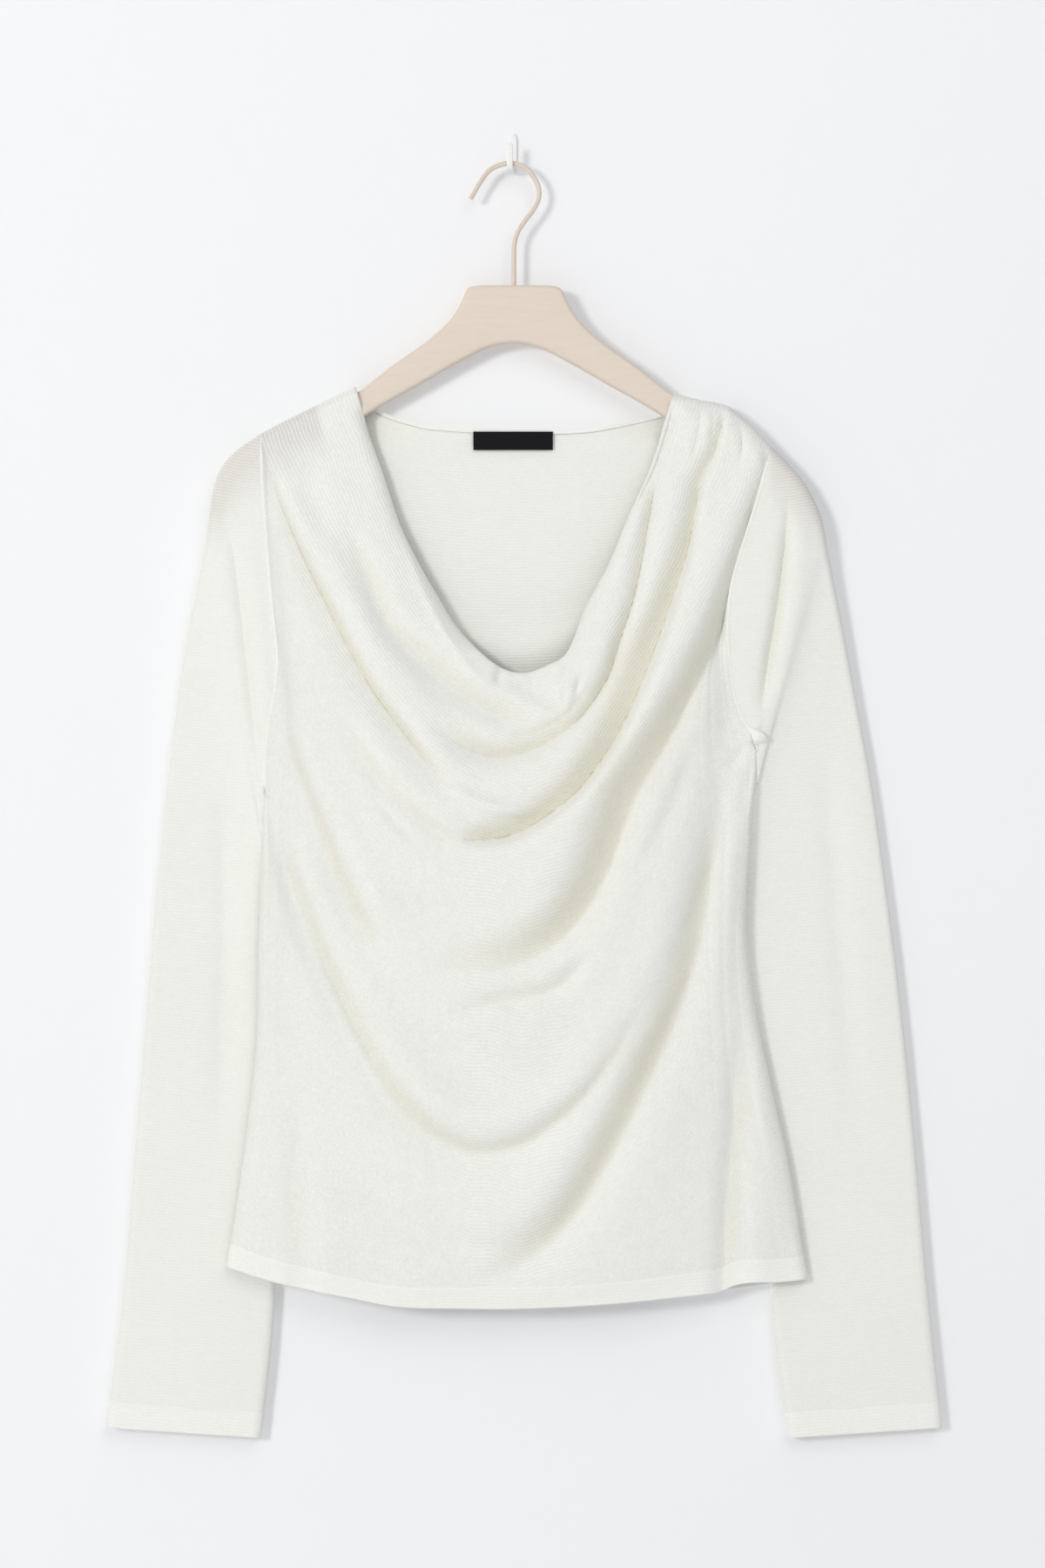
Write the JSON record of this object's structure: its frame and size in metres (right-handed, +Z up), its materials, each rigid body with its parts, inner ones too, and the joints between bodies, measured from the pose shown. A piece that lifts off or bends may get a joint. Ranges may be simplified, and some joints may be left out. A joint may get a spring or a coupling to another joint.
{
  "type": "knitted top on a hanger and wall hook",
  "caption": "Off-white fine-knit long-sleeved top with a draped cowl neck, hung by a flat beige hanger from a small white wall hook.",
  "frame": {"origin": "on the flat back of the wall hook, where the hook lies on the wall", "axes": "+X to the viewer's right (the wearer's left), +Y into the wall, +Z up; the front of the top faces -Y"},
  "size_m": [0.5784, 0.0518, 0.9022],
  "materials": {
    "knit": "fine off-white jersey knit with fine ridges across",
    "smooth_knit": "smooth off-white knit of the bands and facing",
    "label": "black woven satin",
    "hanger": "matt beige lacquer",
    "wire": "beige enamelled steel wire",
    "wall_hook": "white enamelled steel strap"
  },
  "bodies": {
    "root": {"front_panel": "knit", "back_panel": "knit", "sleeve_wearer_right": "knit", "sleeve_wearer_left": "knit", "neck_facing": "smooth_knit", "back_neck_band": "smooth_knit", "hem_front": "smooth_knit", "hem_back": "smooth_knit", "cuff_wearer_right": "smooth_knit", "cuff_wearer_left": "smooth_knit", "label": "label", "hanger_body": "hanger", "hanger_hook": "wire", "wall_hook": "wall_hook"}
  },
  "joints": []
}
